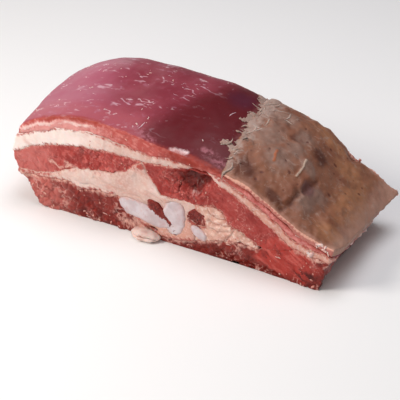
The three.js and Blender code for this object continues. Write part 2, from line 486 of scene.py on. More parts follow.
def layPiece(spec, shape, material):
    piece = fineSkin(spec)
    rest, normals = readSkin(piece)
    cut = cutShare(rest, normals)
    if spec.get("round"):  # its own skin wraps over the block's end
        cut = ramp(0.5, 0.8, np.abs(normals[:, 1]))
    lift, masks = shape(spec, rest, normals, cut)
    push = masks.pop("push", 0)  # mm along Y
    outer = ramp(0.3, 0.7, normals[:, 2]) if spec.get("round") else np.zeros(len(rest))
    points = rest + normals * (spec["grow"] + lift)[:, None] + wander(rest) * (1 - outer)[:, None]
    points[:, 1] += np.abs(normals[:, 1]) * np.sign(rest[:, 1]) * cut * sawnWave(rest) + push
    points[:, 2] = np.maximum(points[:, 2], 0)
    writeSkin(piece, points)
    for name, values in {"cut": cut, **masks}.items():
        paint(piece, name, values)
    piece.data.materials.clear()
    piece.data.materials.append(material)
    piece.data.shade_smooth()
    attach(piece, "root")
    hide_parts(spec["node"])
    say(f"{spec['name']}: {len(piece.data.polygons)} faces")
    return piece


# The dome of muscle at the thick end: its own silvery skin on top, a band of cut lean at the saw cuts

domeMuscle = {
    "name": "membraneMuscle", "node": "cover_muscle", "slot": "membrane_lean",
    "voxel": 0.95, "soften": 4, "round": True, "grow": 0.4,
    "swell": 0.8, "swellSize": 45,  # slow waves of the skin
    "capEdge": ((-44, 50), (-32, 54), (-27, 48), (-8, 46), (0, 43), (21, 42), (49, 37)),  # (y, x)
    # streaks as (x, y) paths: partly the skin's own lilac, partly painted sheen
    "lilacAndSheenStreaks": (((-42, -41), (-29, -45), (-17, -49)), ((26, -40), (38, -41), (50, -46))),
    "glare": ((2, -49), (14, -47)),
    "lip": ((20, 82), (30, 9), 1.8),  # (x, z), reach and mm out: the edge hangs over the hollow below it
    "freshWidth": 4.5, "shoulder": ((-92, 34), (62, 42), 5.5),  # (x, y), reach and mm up
}


def shapeDome(spec, points, normals, cut):
    x, y = points[:, 0], points[:, 1]
    flat, face = points[:, :2], points[:, ::2]
    front = frontShare(points)
    top = ramp(0.25, 0.6, normals[:, 2])
    edge = edgeDistance(points, normals[:, 2] > 0.6)
    depth = depthBelow(points, cut)
    fresh = np.maximum(top * ramp(spec["freshWidth"], 0.5, edge), cut * ramp(3.5, 1.0, depth))
    fresh *= 0.45 + 0.55 * np.maximum(ramp(-50, -75, x) * ramp(-128, -112, x), ramp(-15, 5, x))
    lift = top * (spec["swell"] * ripple(points, spec["swellSize"], 12) + 0.2 * ripple(points, 9, 13))
    middle, reach, up = spec["shoulder"]
    lift += up * spot(flat, middle, reach) * (1 - cut)
    border = grains(points, 3.0, 14)[0]
    lift += cut * (0.5 * (1 - border ** 2) - 0.25 + 0.6 * ripple(points, 6, 15))
    middle, reach, out = spec["lip"]
    overhang = -out * front * cut * spot(face, middle, reach)
    deepRed = ramp(-34, 8, x - 0.35 * y) * ramp(-58, -44, y)
    return lift, {
        "push": overhang,
        "cut": ramp(0.5, 0.85, np.abs(normals[:, 1]) + 0.15 * ripple(points, 5, 17, 2)),
        "top": top,
        "fresh": fresh,
        # pinker towards the left end: partly the skin's own paler tone, partly painted sheen
        "pinkEnd": ramp(-45, -125, x + 0.35 * y),
        "pinkFront": top * ramp(-15, -45, y) * ramp(0, -40, x),
        "deepRed": top * deepRed,
        "purple": top * spot(flat, (22, 33), (24, 26)),
        # lilac streaks: the skin's own lilac tone and painted sheen
        "lilac": top * alongPaths(flat, spec["lilacAndSheenStreaks"], 9),
        "glare": top * alongPaths(flat, (spec["glare"],), 5),
        "film": top * ramp(12, 2, capX(points) - x),
        "fatLine": front * cut * ramp(2.5, 4, depth) * ramp(8, 6, depth) * ramp(-50, -75, x),
        # painted shade: the cut band darker around the overhanging lip
        "darkBand": cut * spot(face, (14, 80), (34, 16)),
        "paleBand": cut * np.maximum(ramp(-20, -110, x) * ramp(1.5, 4, depth), 0.42 * ramp(38, 62, x)),
        "fleckShare": top * ramp(2, 8, edge) * ramp(-0.3, 0.5, ripple(points, 22, 16)) * (1 - 0.85 * deepRed),
        "beadShare": cut * ramp(2, 4, depth),
    }


silverskin = wetTissue("silverskinOverBeef", {  # raw beef under its thin moist membrane: satin, purple-red
    "patch": 38, "colours": ("#7d2c39", "#8a3945"), "roughness": (0.34, 0.44),
    "shine": 0.22, "wet": 0.08, "wetRoughness": 0.22, "glow": 0.1, "depth": 2.5,
    "layers": (
        # pinker left end: the skin's own paler tone and painted sheen
        painted("pinkEnd", "#a04f63", 20, 0.5, (0.2, 1.2)),
        painted("pinkFront", "#a4535d", 14, 0.7, (0.4, 1.3), strength=0.8),
        cloud("#964a5c", 7, (0.5, 0.75), strength=0.35, warp=4),
        cloud("#a96d80", 5, (0.52, 0.66), strength=0.6, warp=6, patches=(17, 0.53, 0.62), within=("top",),
              grain=(20, 1.6)),
        wisps("#c39aa5", 13, (0.03, 0.008), strength=0.7, warp=6, grain=(12, 2.4), patches=(11, 0.56, 0.62),
              bump=0.05, within=("top",)),
        wisps("#d4b3b9", 6, (0.035, 0.01), strength=0.7, warp=3, grain=(12, 2.0), patches=(8, 0.6, 0.64),
              bump=0.05, within=("top",)),
        painted("deepRed", "#560d14", 18, 0.8, (0.5, 1.4), strength=0.9),
        painted("purple", "#521a2d", 9, 0.4, (0.35, 1.2), strength=0.9),
        # lilac streaks: the skin's own lilac tone and painted sheen
        painted("lilac", "#a05f6a", 4, 2.8, (1.5, 2.6), warp=6, strength=0.9, patches=(5, 0.4, 0.56),
                within=("lilac",)),
        painted("glare", "#ecd3d5", 2.6, 1.8, (1.1, 1.9), within=("glare",)),
        painted("film", "#7c4a48", 5, 2.2, (1.3, 2.2), warp=4, strength=0.7, within=("film",)),
        painted("cut", "#b4544e", 3, 1.0, (0.7, 1.5), roughness=0.42),
        cloud("#d2857d", 2.8, (0.48, 0.64), strength=0.6, within=("cut",), grain=(-20, 2.2), bump=0.15),
        painted("paleBand", "#dd9c97", 2.6, 1.6, (0.8, 1.8), strength=0.8, bump=0.15, within=("cut",)),
        painted("fresh", "#973a2e", 6, 1.8, (1.1, 2.2), strength=0.8),
        # painted shade on the cut band around the overhanging lip
        painted("darkBand", "#862c22", 5, 1.0, (0.55, 1.4), strength=0.85, within=("cut",)),
        painted("fatLine", "#ecccc6", 3, 3.0, (1.9, 2.9), grain=(5, 2.5), bump=0.2, strength=0.9,
                within=("fatLine",)),
    ),
})


# The dried cap of fat on the thin end: grey and lilac where thin skin covers it, tan and brown elsewhere

capFat = {
    "name": "driedFatCap", "node": "fat_cap", "slot": "cap_fat",
    "voxel": 0.8, "soften": 3, "round": True, "grow": 0.4,
    # patches and spots as (x, y) of the middle, and reach
    "greyPatches": (((62, 2), (22, 30)), ((78, -14), (22, 20)), ((84, 22), (14, 18)), ((84, 3), (14, 16)),
                    ((109, -27), (13, 20)), ((60, 30), (22, 18)), ((112, -14), (12, 14)),
                    ((98, -2), (12, 12))),
    "tanPatches": (((96, 47), (24, 12)), ((132, 10), (20, 50)), ((118, 36), (20, 20)),
                   ((134, -36), (20, 17))),
    "brownPatches": (((61, -38), (15, 15)), ((88, -44), (14, 8)), ((80, 16), (9, 9)), ((100, 18), (10, 14))),
    "creases": (((107, -5), (104, -13), (104, -22)), ((102, -27), (102, -37), (97, -47))),
    "creaseDepth": 2.0, "creaseWidth": 4.2,
    # a darker patch beside the creases: (x, y) of the middle, and reach
    "bruise": ((105, -17), (9, 13)),
    "darkSpots": ((77.5, 4), (93, -34), (101, 39), (125, 11), (74, -34), (72, -41), (88, 20), (66, 12),
                  (109, 30), (84, -12), (80, 33), (118, -2), (69, -12), (90, -18), (132, 26)),
    "scrap": ((76, -19), (74.6, -14), (75.4, -10)),
    "dash": ((95.0, -17), (95.4, -8), (94.0, 1)),
    "dents": (((112, 58), (8, 10), 3.0), ((84, 60), (7, 8), 1.5)),  # (x, y), reach and mm down
    "tangle": ((58, 27), (17, 25)),
    "skinEdge": (0.6, 2.0),  # how deep, in mm, the pale rim of fat reaches on the cut; lean shows below it
}


def capX(points):  # where the cap starts
    return np.interp(points[:, 1], *np.array(domeMuscle["capEdge"], float).T)


def shapeCap(spec, points, normals, cut):
    x = points[:, 0]
    flat = points[:, :2]
    drifted = flat + 1.6 * drift(points, 9, 24, 25)
    top = ramp(0.25, 0.6, normals[:, 2])
    crease = top * alongPaths(drifted, spec["creases"], spec["creaseWidth"])
    dash = alongPaths(flat + 0.4 * ripple(points, 4, 26)[:, None], (spec["dash"],), 1.5)
    scrap = alongPaths(drifted, (spec["scrap"],), 2.2)
    stains = spots(drifted, [(middle, 1.4 + 1.8 * chance(np.array(middle + (0,)), 27))
                             for middle in spec["darkSpots"]])
    lift = top * (1.8 * ripple(points, 24, 21) + 1.1 * ripple(points, 10, 22, 2))
    lift += top * (0.9 * dash + 0.6 * scrap - 0.5 * stains) - spec["creaseDepth"] * crease
    lift -= cut * 0.3 * ramp(0.6, 1.0, grains(points, 2.4, 23)[0])
    for middle, reach, down in spec["dents"]:
        lift -= top * down * spot(flat, middle, reach)
    depth = depthBelow(points, cut)
    sides = cut * ramp(40, 50, np.abs(points[:, 1]))
    return lift, {
        "grey": top * spots(drifted, spec["greyPatches"]),
        "tan": top * spots(drifted, spec["tanPatches"]),
        "brown": top * spots(drifted, spec["brownPatches"]),
        # painted shade along the creases, which are also pressed in
        "crease": crease,
        "bruise": top * spot(drifted, *spec["bruise"]),
        "strand": top * dash,
        "scrap": top * scrap,
        "stain": top * stains,
        "rim": top * ramp(7, 0, edgeDistance(points, normals[:, 2] > 0.6)),
        "endRim": ramp(122, 146, x),
        "fray": top * ramp(62, 42, x),
        "innerLean": sides * ramp(*spec["skinEdge"], depth),
        "fibreShare": top * np.maximum(spot(flat, *spec["tangle"]), 0.25 * ramp(62, 48, x)),
        "bitShare": sides * ramp(108, 118, x),
    }


driedFat = wetTissue("driedFatUnderFell", {  # fat dried in the air under a thin skin: dull, grey to tan
    "patch": 24, "colours": ("#7e4d39", "#8b5b45"), "roughness": (0.46, 0.62),
    "wet": 0.1, "wetRoughness": 0.3, "glow": 0.1, "depth": 2.0,
    "layers": (
        painted("tan", "#a06c4d", 10, 0.9, (0.45, 1.3)),
        painted("brown", "#582e20", 7, 0.9, (0.5, 1.3)),
        painted("grey", "#89695c", 8, 1.2, (0.6, 1.5)),
        cloud("#694030", 8, (0.5, 0.72), strength=0.45, warp=8),
        cloud("#9c7d70", 5, (0.5, 0.7), strength=0.35, warp=4, bump=0.1, patches=(14, 0.42, 0.6)),
        wisps("#b0958a", 9, (0.025, 0.005), strength=0.35, warp=5, bump=0.12, patches=(12, 0.54, 0.62)),
        dots("#5b2f27", 6.5, (0.2, 0.1), strength=0.6, share=0.22, warp=2),
        painted("fray", "#a58d83", 5, 2.2, (1.2, 2.2), bump=0.15, warp=4, strength=0.9),
        # a darker patch beside the creases
        painted("bruise", "#6a4646", 4, 0.9, (0.6, 1.3), strength=0.8),
        # painted shade along the creases
        painted("crease", "#4d271c", 3, 1.4, (1.0, 2.1), strength=0.8),
        painted("stain", "#54251f", 1.5, 0.6, (0.6, 1.2), strength=0.75),
        painted("strand", "#c0a896", 1.2, 0.8, (0.7, 1.3), strength=0.8),
        painted("scrap", "#a35f41", 1.6, 1.4, (0.9, 1.6)),
        painted("endRim", "#b28a7a", 8, 0.8, (0.8, 1.5), strength=0.7),
        painted("rim", "#b98a79", 4, 0.8, (0.9, 1.7), strength=0.7),
        painted("cut", "#d7a18f", 2.5, 0.6, (0.5, 1.1)),
        painted("innerLean", "#b26c63", 3, 0.7, (0.6, 1.2)),
        cloud("#c27a6f", 2.4, (0.5, 0.66), strength=0.5, within=("innerLean",), grain=(-35, 3)),
    ),
})


# The thin skin of the cap, torn where it starts: a ragged sheet over the border between dome and cap

tornFell = {
    "name": "tornFell", "slot": "cap_fat", "step": 0.7, "across": (12, 72), "along": (-50, 58),
    "before": 5.5, "past": 13,  # mm before and past the cap's start
    "ragged": ((19, 15), (7, 10), (2.4, 5)),  # (size, depth) of the tears, mm
    "above": 0.3, "curl": 1.1, "sink": 1.2, "thick": 0.35,  # mm; it sinks into the cap where it ends
    "seed": 90,
}


def laySheet(spec, grounds, material):
    surface = surfaceOf(grounds)
    lanes = [np.arange(*spec[side], spec["step"]) for side in ("across", "along")]
    points = np.stack(np.meshgrid(*lanes, [150.0], indexing="ij"), -1).reshape(-1, 3)
    away = np.full(len(points), -99.0)
    for number, point in enumerate(points):
        place, normal = surface.ray_cast(Vector(point) * mm, Vector((0, 0, -1)))[:2]
        if place is not None and normal.z > 0.45:
            points[number] = Vector(place) / mm
            away[number] = point[0]
    away -= capX(points)
    tear = away + spec["before"]
    for order, (size, depth) in enumerate(spec["ragged"]):
        tear += depth * ripple(points, size, spec["seed"] + order)
    kept = (tear > 0) & (away > -50) & (away < spec["past"])
    curled = ramp(5, 0, tear) * ramp(-0.1, 0.5, ripple(points, 6, spec["seed"]))
    points[:, 2] += spec["above"] + spec["curl"] * curled
    past = away + 3 * ripple(points, 6, spec["seed"] + 3)
    points[:, 2] -= spec["sink"] * ramp(spec["past"] - 7, spec["past"] - 1, past)
    rows = len(lanes[1])
    quads = [(n, n + rows, n + rows + 1, n + 1) for n in range(len(points) - rows - 1) if (n + 1) % rows]
    quads = [quad for quad in quads if kept[list(quad)].all()]
    used = sorted({number for quad in quads for number in quad})
    place = {number: order for order, number in enumerate(used)}
    mesh = bpy.data.meshes.new(spec["name"])
    corners = [Vector(points[number]) * mm for number in used]
    mesh.from_pydata(corners, [], [[place[number] for number in quad] for quad in quads])
    piece = addObject(spec["name"], mesh)
    body = piece.modifiers.new("body", "SOLIDIFY")
    body.thickness, body.offset = spec["thick"] * mm, 0
    settle(piece)
    points = readSkin(piece)[0]
    facingUp, cut = np.tile((0.0, 0.0, 1.0), (len(points), 1)), np.zeros(len(points))
    for name, values in shapeCap(capFat, points, facingUp, cut)[1].items():
        paint(piece, name, values)
    piece.data.materials.append(material)
    piece.data.shade_smooth()
    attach(piece, "root")
    say(f"{spec['name']}: {len(piece.data.polygons)} faces")
    return piece


# The seams of fat, the looser lobes beside the ribs and the loose end at the foot

upperSeam = {
    "name": "upperFatSeam", "node": "upper_fat", "slot": "seam_fat",
    "voxel": 1.0, "soften": 1, "grow": 0.8,
    "start": ((47, 71), (10, 9)),  # where it comes out again beyond the hollow, thick and pale
    "tuck": ((27, 76), (18, 8), 5),  # (x, z), reach and mm in: the seam goes back under the lip
}
lowerSeam = {
    "name": "lowerFatSeam", "node": "lower_fat", "slot": "seam_fat",
    "voxel": 0.95, "soften": 1, "grow": 0.75,
    "peak": ((-27, 66), (17, 10)), "hole": ((-16, 9), (7.5, 3), 4),  # (x, z), reach and, for the hole, mm in
    "folds": (((-88, 36), (-62, 34), (-30, 27)), ((-70, 43), (-40, 38), (-12, 30)),
              ((-20, 44), (0, 36), (14, 27))),
}
lobes = {
    "name": "fatLobes", "node": "fat_lobes", "slot": "lobe_fat",
    "voxel": 0.7, "soften": 3, "grow": 0.45,
    "creases": (((35, 44), (38, 38), (46, 37.5), (52, 39)), ((37, 33), (43, 31), (56, 34)),
                ((39, 28), (45, 25), (54, 28)), ((57, 45), (59, 35), (57, 25), (50, 18), (40, 14)),
                ((60, 34), (66, 31), (74, 27)), ((62, 14), (70, 13), (78, 16))),
    "hole": ((64.5, 20), 3.2, 3.0),  # (x, z), reach and mm in
    "rumple": 0.5, "blush": 1, "pale": 0, "foldDepth": 0.8,
}
looseEnd = {
    "name": "fatFlap", "node": "fat_flap", "slot": "lobe_fat",
    "voxel": 0.5, "soften": 3, "grow": 0.3,
    "creases": (((-30, 4), (-20, 5.5), (-8, 4)), ((-24, 8), (-16, 7.5), (-6, 8.5))),
    "hole": ((-11, 7.5), 2.0, 1.0),
    "rumple": 1.8, "blush": 0.8, "pale": 0.4, "foldDepth": 2.2,
}


def shapeUpperSeam(spec, points, normals, cut):
    x = points[:, 0]
    lift = cut * (1.0 * ripple(points, 13, 30) + 0.45 * ripple(points, 4, 31))
    middle, reach, inward = spec["tuck"]
    start = cut * frontShare(points) * spot(points[:, ::2], *spec["start"])
    return lift + 1.5 * start, {
        "push": inward * frontShare(points) * spot(points[:, ::2], middle, reach),
        "bright": np.maximum(ramp(-40, -110, x), 0.8 * start),
        "rosy": ramp(-10, 90, x),
        "leanEdge": near(leanSurface, points, cut, 3.0),
        "bitShare": cut * ramp(108, 118, x),
        "beadShare": cut * (0.1 + ramp(-80, -65, x) * ramp(-15, -35, x)),
    }


def shapeLowerSeam(spec, points, normals, cut):
    z = points[:, 2]
    face = points[:, ::2]
    folds = alongPaths(face + 2 * ripple(points, 12, 33)[:, None], spec["folds"], 1.6)
    middle, reach, inward = spec["hole"]
    hole = cut * frontShare(points) * spot(face, middle, reach)
    lift = cut * (1.9 * ripple(points, 18, 34) + 0.5 * ripple(points, 6, 35) - 1.0 * folds) - inward * hole
    return lift, {
        # painted shade along the folds, which are also pressed in
        "fold": 0.7 * cut * folds,
        "rosy": ramp(34, 22, z),
        "bright": cut * np.maximum(0.2 * ramp(-35, -85, points[:, 0]), 0.5 * spot(face, (-12, 50), (16, 12))),
        # painted shade in the pressed-in hole
        "hole": hole,
        "leanEdge": np.maximum(
            near(leanSurface, points, cut, 6.0) * (0.5 + 0.5 * ramp(42, 30, z)),
            cut * frontShare(points) * spot(face, *spec["peak"]),
        ),
    }


def shapeLobes(spec, points, normals, cut):
    face = points[:, ::2]
    drifted = face + drift(points, 7, 36, 39)
    crease = alongPaths(drifted, spec["creases"], 3.4)
    middle, reach, inward = spec["hole"]
    front = ramp(0, -30, points[:, 1])
    hole = front * spot(drifted, middle, reach)
    crease = front * crease + (1 - front) * ramp(0.7, 1.0, grains(points, 13, 37)[0])
    lift = cut * (1.1 * ripple(points, 10, 38) + spec["rumple"] * ripple(points, 4, 29) + 0.5 * (1 - crease)
                  - spec["foldDepth"] * crease ** 2 - inward * hole)
    return lift, {
        # painted shade along the folds, which are also pressed in
        "fold": cut * crease ** 4,
        "blood": cut * hole,
        "rosy": spec["blush"] * ramp(-0.2, 0.8, ripple(points, 11, 39)),
        "leanEdge": near(leanSurface, points, cut, 3.0),
        "beadShare": cut * ramp(52, 60, points[:, 0]),
        "bright": spec["pale"] + 0 * cut,
        # painted shade in the pressed-in hole
        "hole": cut * hole,
    }


waxyFat = wetTissue("freshSeamFat", {  # cool, firm, cream beef fat with a faint blush: waxy and smooth
    "patch": 22, "colours": ("#c8a196", "#d4b2a7"), "roughness": (0.38, 0.5),
    "wet": 0.2, "wetRoughness": 0.22, "glow": 0.3, "depth": 4,
    "layers": (
        painted("bright", "#ecdcd6", 12, 0.9, (0.3, 1.4)),
        painted("rosy", "#cb9585", 8, 0.9, (0.5, 1.5)),
        cloud("#cd9080", 6, (0.52, 0.7), strength=0.4, grain=(-20, 3)),
        cloud("#e8d3cc", 2.0, (0.45, 0.65), strength=0.35, bump=0.06),
        wisps("#bd8677", 12, (0.014, 0.0), strength=0.3, warp=5, grain=(-22, 4), bump=-0.06,
              patches=(18, 0.52, 0.64)),
        painted("leanEdge", "#a84c43", 2.2, 1.9, (1.3, 2.0), grain=(-50, 2)),
        # painted shade in the folds
        painted("fold", "#b98475", 2, 0.8, (0.7, 1.4), strength=0.5),
        # painted shade in the pressed-in hole
        painted("hole", "#5c1c14", 2, 0.8, (0.7, 1.2)),
    ),
})
lobeFat = wetTissue("looseLobeFat", {  # softer fat in lobes, with painted shade in its folds
    "patch": 10, "colours": ("#cc9c8c", "#e0b8a8"), "roughness": (0.35, 0.48),
    "wet": 0.25, "wetRoughness": 0.2, "glow": 0.25, "depth": 3,
    "layers": (
        painted("rosy", "#c4806f", 5, 0.9, (0.6, 1.5), strength=0.7),
        cloud("#f0dcd4", 2.5, (0.5, 0.66), strength=0.6, bump=0.15),
        wisps("#a35c4e", 6, (0.03, 0.0), strength=0.5, warp=5, bump=-0.12, patches=(8, 0.42, 0.56)),
        painted("leanEdge", "#9c4038", 2, 1.7, (1.15, 1.9)),
        # painted shade in the folds
        painted("fold", "#96594b", 2.4, 1.6, (1.1, 2.2), strength=0.75),
        painted("blood", "#8c2a24", 1.6, 0.6, (0.6, 1.1)),
    ),
})


# Lean that the saw has cut across: bundles of fibres, grooves between them, and hollows

leftLean = {
    "name": "leftMuscle", "node": "left_muscle", "slot": "cut_lean",
    "voxel": 0.85, "soften": 1, "grow": 0.6,
    "bundle": 7.5, "groove": 0.7, "lumps": 1.4, "seed": 40,
    "streaks": (((-113, 47), (-104, 43), (-92, 49)), ((-98, 50), (-88, 47))),
    "creviceDepth": 1.6, "crevice": ((-128, 60), (-110, 67), (-88, 71), (-66, 70)),
    "cleft": ((-86, 70), (-82, 62), (-84, 54)),
}
rightLean = {
    "name": "rightMuscle", "node": "right_muscle", "slot": "cut_lean",
    "voxel": 0.75, "soften": 1, "grow": 0.6,
    "bundle": 4.6, "groove": 1.3, "lumps": 1.3, "seed": 50,
    "hollow": ((23, 66), (25, 18), 9),  # (x, z), reach and mm in: the hollow under the lip, with painted shade in it
    "crumble": ((14, 58), (38, 24)),
}
ribLean = {
    "name": "ribMuscle", "node": "rib_muscle", "slot": "rib_lean",
    "voxel": 0.95, "soften": 1, "grow": 0.6,
    "bundle": 8.0, "groove": 0.8, "lumps": 1.5, "seed": 60,
    "hole": ((-16, 8.5), (7.5, 3), 6),  # (x, z), reach and mm in
    "paleFoot": ((-30, 8), (30, 8)),
    "foot": ((60, 0), (60, 12), 4), "shade": ((121, 10), (22, 10)),
}
narrowWedge = {
    "name": "narrowWedge", "node": "lean_wedge_narrow", "slot": "dark_lean",
    "voxel": 0.6, "soften": 2, "grow": 3.3,
    "bundle": 3.0, "groove": 0.5, "lumps": 0.5, "seed": 70, "sunk": 1.3,
    "tail": (0.72, -0.69), "tailLength": 8,  # (x, z) way that its lower end is drawn out, and mm
}
wideWedge = {
    "name": "wideWedge", "node": "lean_wedge_wide", "slot": "dark_lean",
    "voxel": 0.6, "soften": 2, "grow": 2.4,
    "bundle": 3.4, "groove": 0.8, "lumps": 0.9, "seed": 75, "sunk": 2.4,
}


def bundles(spec, points):  # (relief in mm, 1 in the grooves)
    drifted = points + 1.5 * ripple(points, 6, spec["seed"] + 3)[:, None]
    border, own = grains(drifted * (1, 0.25, 1), spec["bundle"], spec["seed"])
    fine = grains(drifted * (1, 0.4, 1), spec["bundle"] * 0.42, spec["seed"] + 1)[0]
    groove = ramp(0.75, 1.0, border)
    waves = 0.9 * ripple(points, 12, spec["seed"] + 2)
    relief = spec["lumps"] * ((0.4 + own) * (1 - border ** 2) - 0.45 + waves)
    relief -= 0.35 * spec["groove"] * groove + 0.3 * spec["groove"] * ramp(0.6, 1.0, fine)
    return relief, groove


fibreZone = {
    "middle": (104, 20), "reach": (46, 28), "turn": -38,  # degrees up from +X
    "depth": 1.3, "wide": 3.4,
}


def obliqueFibres(points):  # (1 where the thin end's fibres run across the cut, their relief from -1 to 1)
    turn = math.radians(fibreZone["turn"])
    along = np.stack([
        points[:, 0] * math.cos(turn) + points[:, 2] * math.sin(turn), points[:, 1],
        points[:, 2] * math.cos(turn) - points[:, 0] * math.sin(turn),
    ], -1)
    along[:, 2] += 2.5 * ripple(points, 16, 67)
    drifted = points[:, ::2] + 5 * drift(points, 14, 65, 66)
    zone = ramp(0.0, 0.7, spot(drifted, fibreZone["middle"], fibreZone["reach"])) * frontShare(points)
    return zone, ripple(along * (0.22, 0.3, 1), fibreZone["wide"], 63, 3)


def shapeLeftLean(spec, points, normals, cut):
    x = points[:, 0]
    face = points[:, ::2]
    beaded = ramp(-100, -70, x)
    front = frontShare(points)
    relief, groove = bundles(spec, points)
    streaks = alongPaths(face + 1.2 * drift(points, 6, 46, 47), spec["streaks"], 4.0) * front
    drifted = face + 1.3 * drift(points, 7, 43, 44)
    cleft = 0.5 * alongPaths(drifted, (spec["cleft"],), 4.5)
    crevice = np.maximum(alongPaths(drifted, (spec["crevice"],), 3.0), cleft) * front
    lift = cut * (relief * (0.45 + 0.75 * beaded) + 0.3 * streaks - spec["creviceDepth"] * crevice - 0.6)
    return lift, {
        "coarse": 0.7 + 0.3 * beaded,
        # painted shade in the grooves and the crevices
        "deep": cut * np.maximum(groove * (0.1 + 0.2 * beaded), crevice),
        "streak": cut * streaks,
        "rosyEnd": cut * ramp(-100, -128, x),
        "fatEdge": near(fatSurface, points, cut, 3.0),
        "beadShare": cut * (0.3 + 0.7 * beaded),
        "shredShare": 0.2 * cut,
    }


def shapeRightLean(spec, points, normals, cut):
    face = points[:, ::2]
    front = frontShare(points)
    relief, groove = bundles(spec, points)
    crumble = spot(face, *spec["crumble"]) * front
    cracks = ramp(0.16, 0.0, np.abs(ripple(points * (1, 0.4, 1), 9, 53, 2))) * (0.15 + 0.85 * crumble)
    middle, reach, inward = spec["hollow"]
    hollow = spot(face + 5 * drift(points, 9, 54, 55), middle, reach) * front
    zone, fibres = obliqueFibres(points)
    lift = cut * (relief * (0.35 + 0.75 * crumble) - 1.8 * cracks * crumble
                  + fibreZone["depth"] * zone * fibres)
    return lift, {
        "push": cut * inward * hollow,
        # painted shade in the grooves, cracks, hollow and gaps between fibres
        "deep": cut * np.maximum.reduce([
            groove * 0.5 * crumble, cracks * 0.9, 0.8 * ramp(0.1, 0.8, hollow),
            0.5 * zone * ramp(-0.2, -0.6, fibres),
        ]),
        "coarse": 0.25 + 0.75 * crumble,
        "raw": cut * zone,
        "paleFibre": cut * zone * ramp(0.0, 0.6, fibres),
        "fatEdge": near(fatSurface, points, cut, 2.5),
        "beadShare": cut * 0.6 * (1 - hollow),
        "shredShare": 0.2 * cut * (1 - hollow),
    }


def shapeRibLean(spec, points, normals, cut):
    x, z = points[:, 0], points[:, 2]
    face = points[:, ::2]
    front = frontShare(points)
    relief, groove = bundles(spec, points)
    zone, fibres = obliqueFibres(points)
    middle, reach, inward = spec["hole"]
    hole = spot(face, middle, reach) * front
    lift = cut * (relief * (1 - 0.6 * zone) + fibreZone["depth"] * zone * fibres - inward * hole)
    middle, reach, inward = spec["foot"]
    return lift, {
        "push": cut * front * inward * spot(face, middle, reach),
        # painted shade in the grooves, the hole, the gaps between fibres and low at the right end
        "deep": cut * np.maximum.reduce([
            groove * 0.4 * (1 - zone), hole, 0.5 * zone * ramp(-0.2, -0.6, fibres),
            0.95 * front * spot(face, *spec["shade"]) * ramp(-0.4, 0.2, fibres),
        ]),
        "rosyEnd": cut * ramp(-84, -118, x),
        "raw": cut * zone,
        "paleFibre": cut * zone * ramp(0.0, 0.6, fibres),
        "fatEdge": np.maximum(
            near(fatSurface, points, cut, 5.5), cut * front * spot(face, *spec["paleFoot"]),
        ),
        "beadShare": cut * (0.2 + 0.6 * zone),
        "shredShare": cut * (0.1 + 0.4 * ramp(-40, -70, x)),
        "footShare": cut * np.maximum.reduce([
            ramp(6, 2, z) * (0.3 + 0.7 * ramp(-30, -60, x)),
            0.8 * front * ramp(-114, -126, x),
            0.6 * front * ramp(90, 110, x) * ramp(10, 4, z),
        ]),
    }


def shapeWedge(spec, points, normals, cut):
    relief, groove = bundles(spec, points)
    if "tail" in spec:
        along = points[:, ::2] @ np.array(spec["tail"])
        drawn = spec["tailLength"] * ramp(0.3, 1, (along - along.min()) / np.ptp(along))
        points[:, ::2] += np.outer(drawn, spec["tail"])
    # painted shade in the grooves
    return cut * (relief - spec["sunk"]), {"deep": 0.7 * cut * groove}


freshLean = wetTissue("freshlyCutBeef", {  # beef cut across its fibres: moist, rose-red, painted shade in its grooves
    "patch": 16, "colours": ("#8e2722", "#a43a34"), "roughness": (0.34, 0.48),
    "shine": 0.25, "wet": 0.5, "wetRoughness": 0.1, "glow": 0.2, "depth": 2.5,
    "layers": (
        painted("rosyEnd", "#bc655f", 9, 1.2, (0.5, 1.7)),
        cloud("#8c2c27", 7, (0.45, 0.6), strength=0.5, warp=5),
        cloud("#c9665f", 3.5, (0.48, 0.64), strength=0.75, bump=0.2, warp=3, within=("coarse",)),
        cloud("#b9524b", 3, (0.5, 0.72), strength=0.5, grain=(-38, 5)),
        wisps("#d08a80", 5, (0.03, 0.0), strength=0.5, warp=4, bump=0.1, patches=(9, 0.48, 0.6)),
        painted("raw", "#b03a31", 5, 0.9, (0.6, 1.3), strength=0.8),
        painted("paleFibre", "#bc554c", 3, 0.8, (0.6, 1.4), grain=(-38, 3)),
        painted("fatEdge", "#d79d90", 2.2, 1.8, (1.25, 2.0), grain=(-60, 2)),
        # painted shade in grooves, cracks, holes and hollows
        painted("deep", "#520d08", 2, 0.7, (0.5, 1.3), strength=0.95),
        painted("streak", "#d9a99c", 2.2, 2.6, (1.6, 2.7), bump=0.1, within=("streak",)),
    ),
})
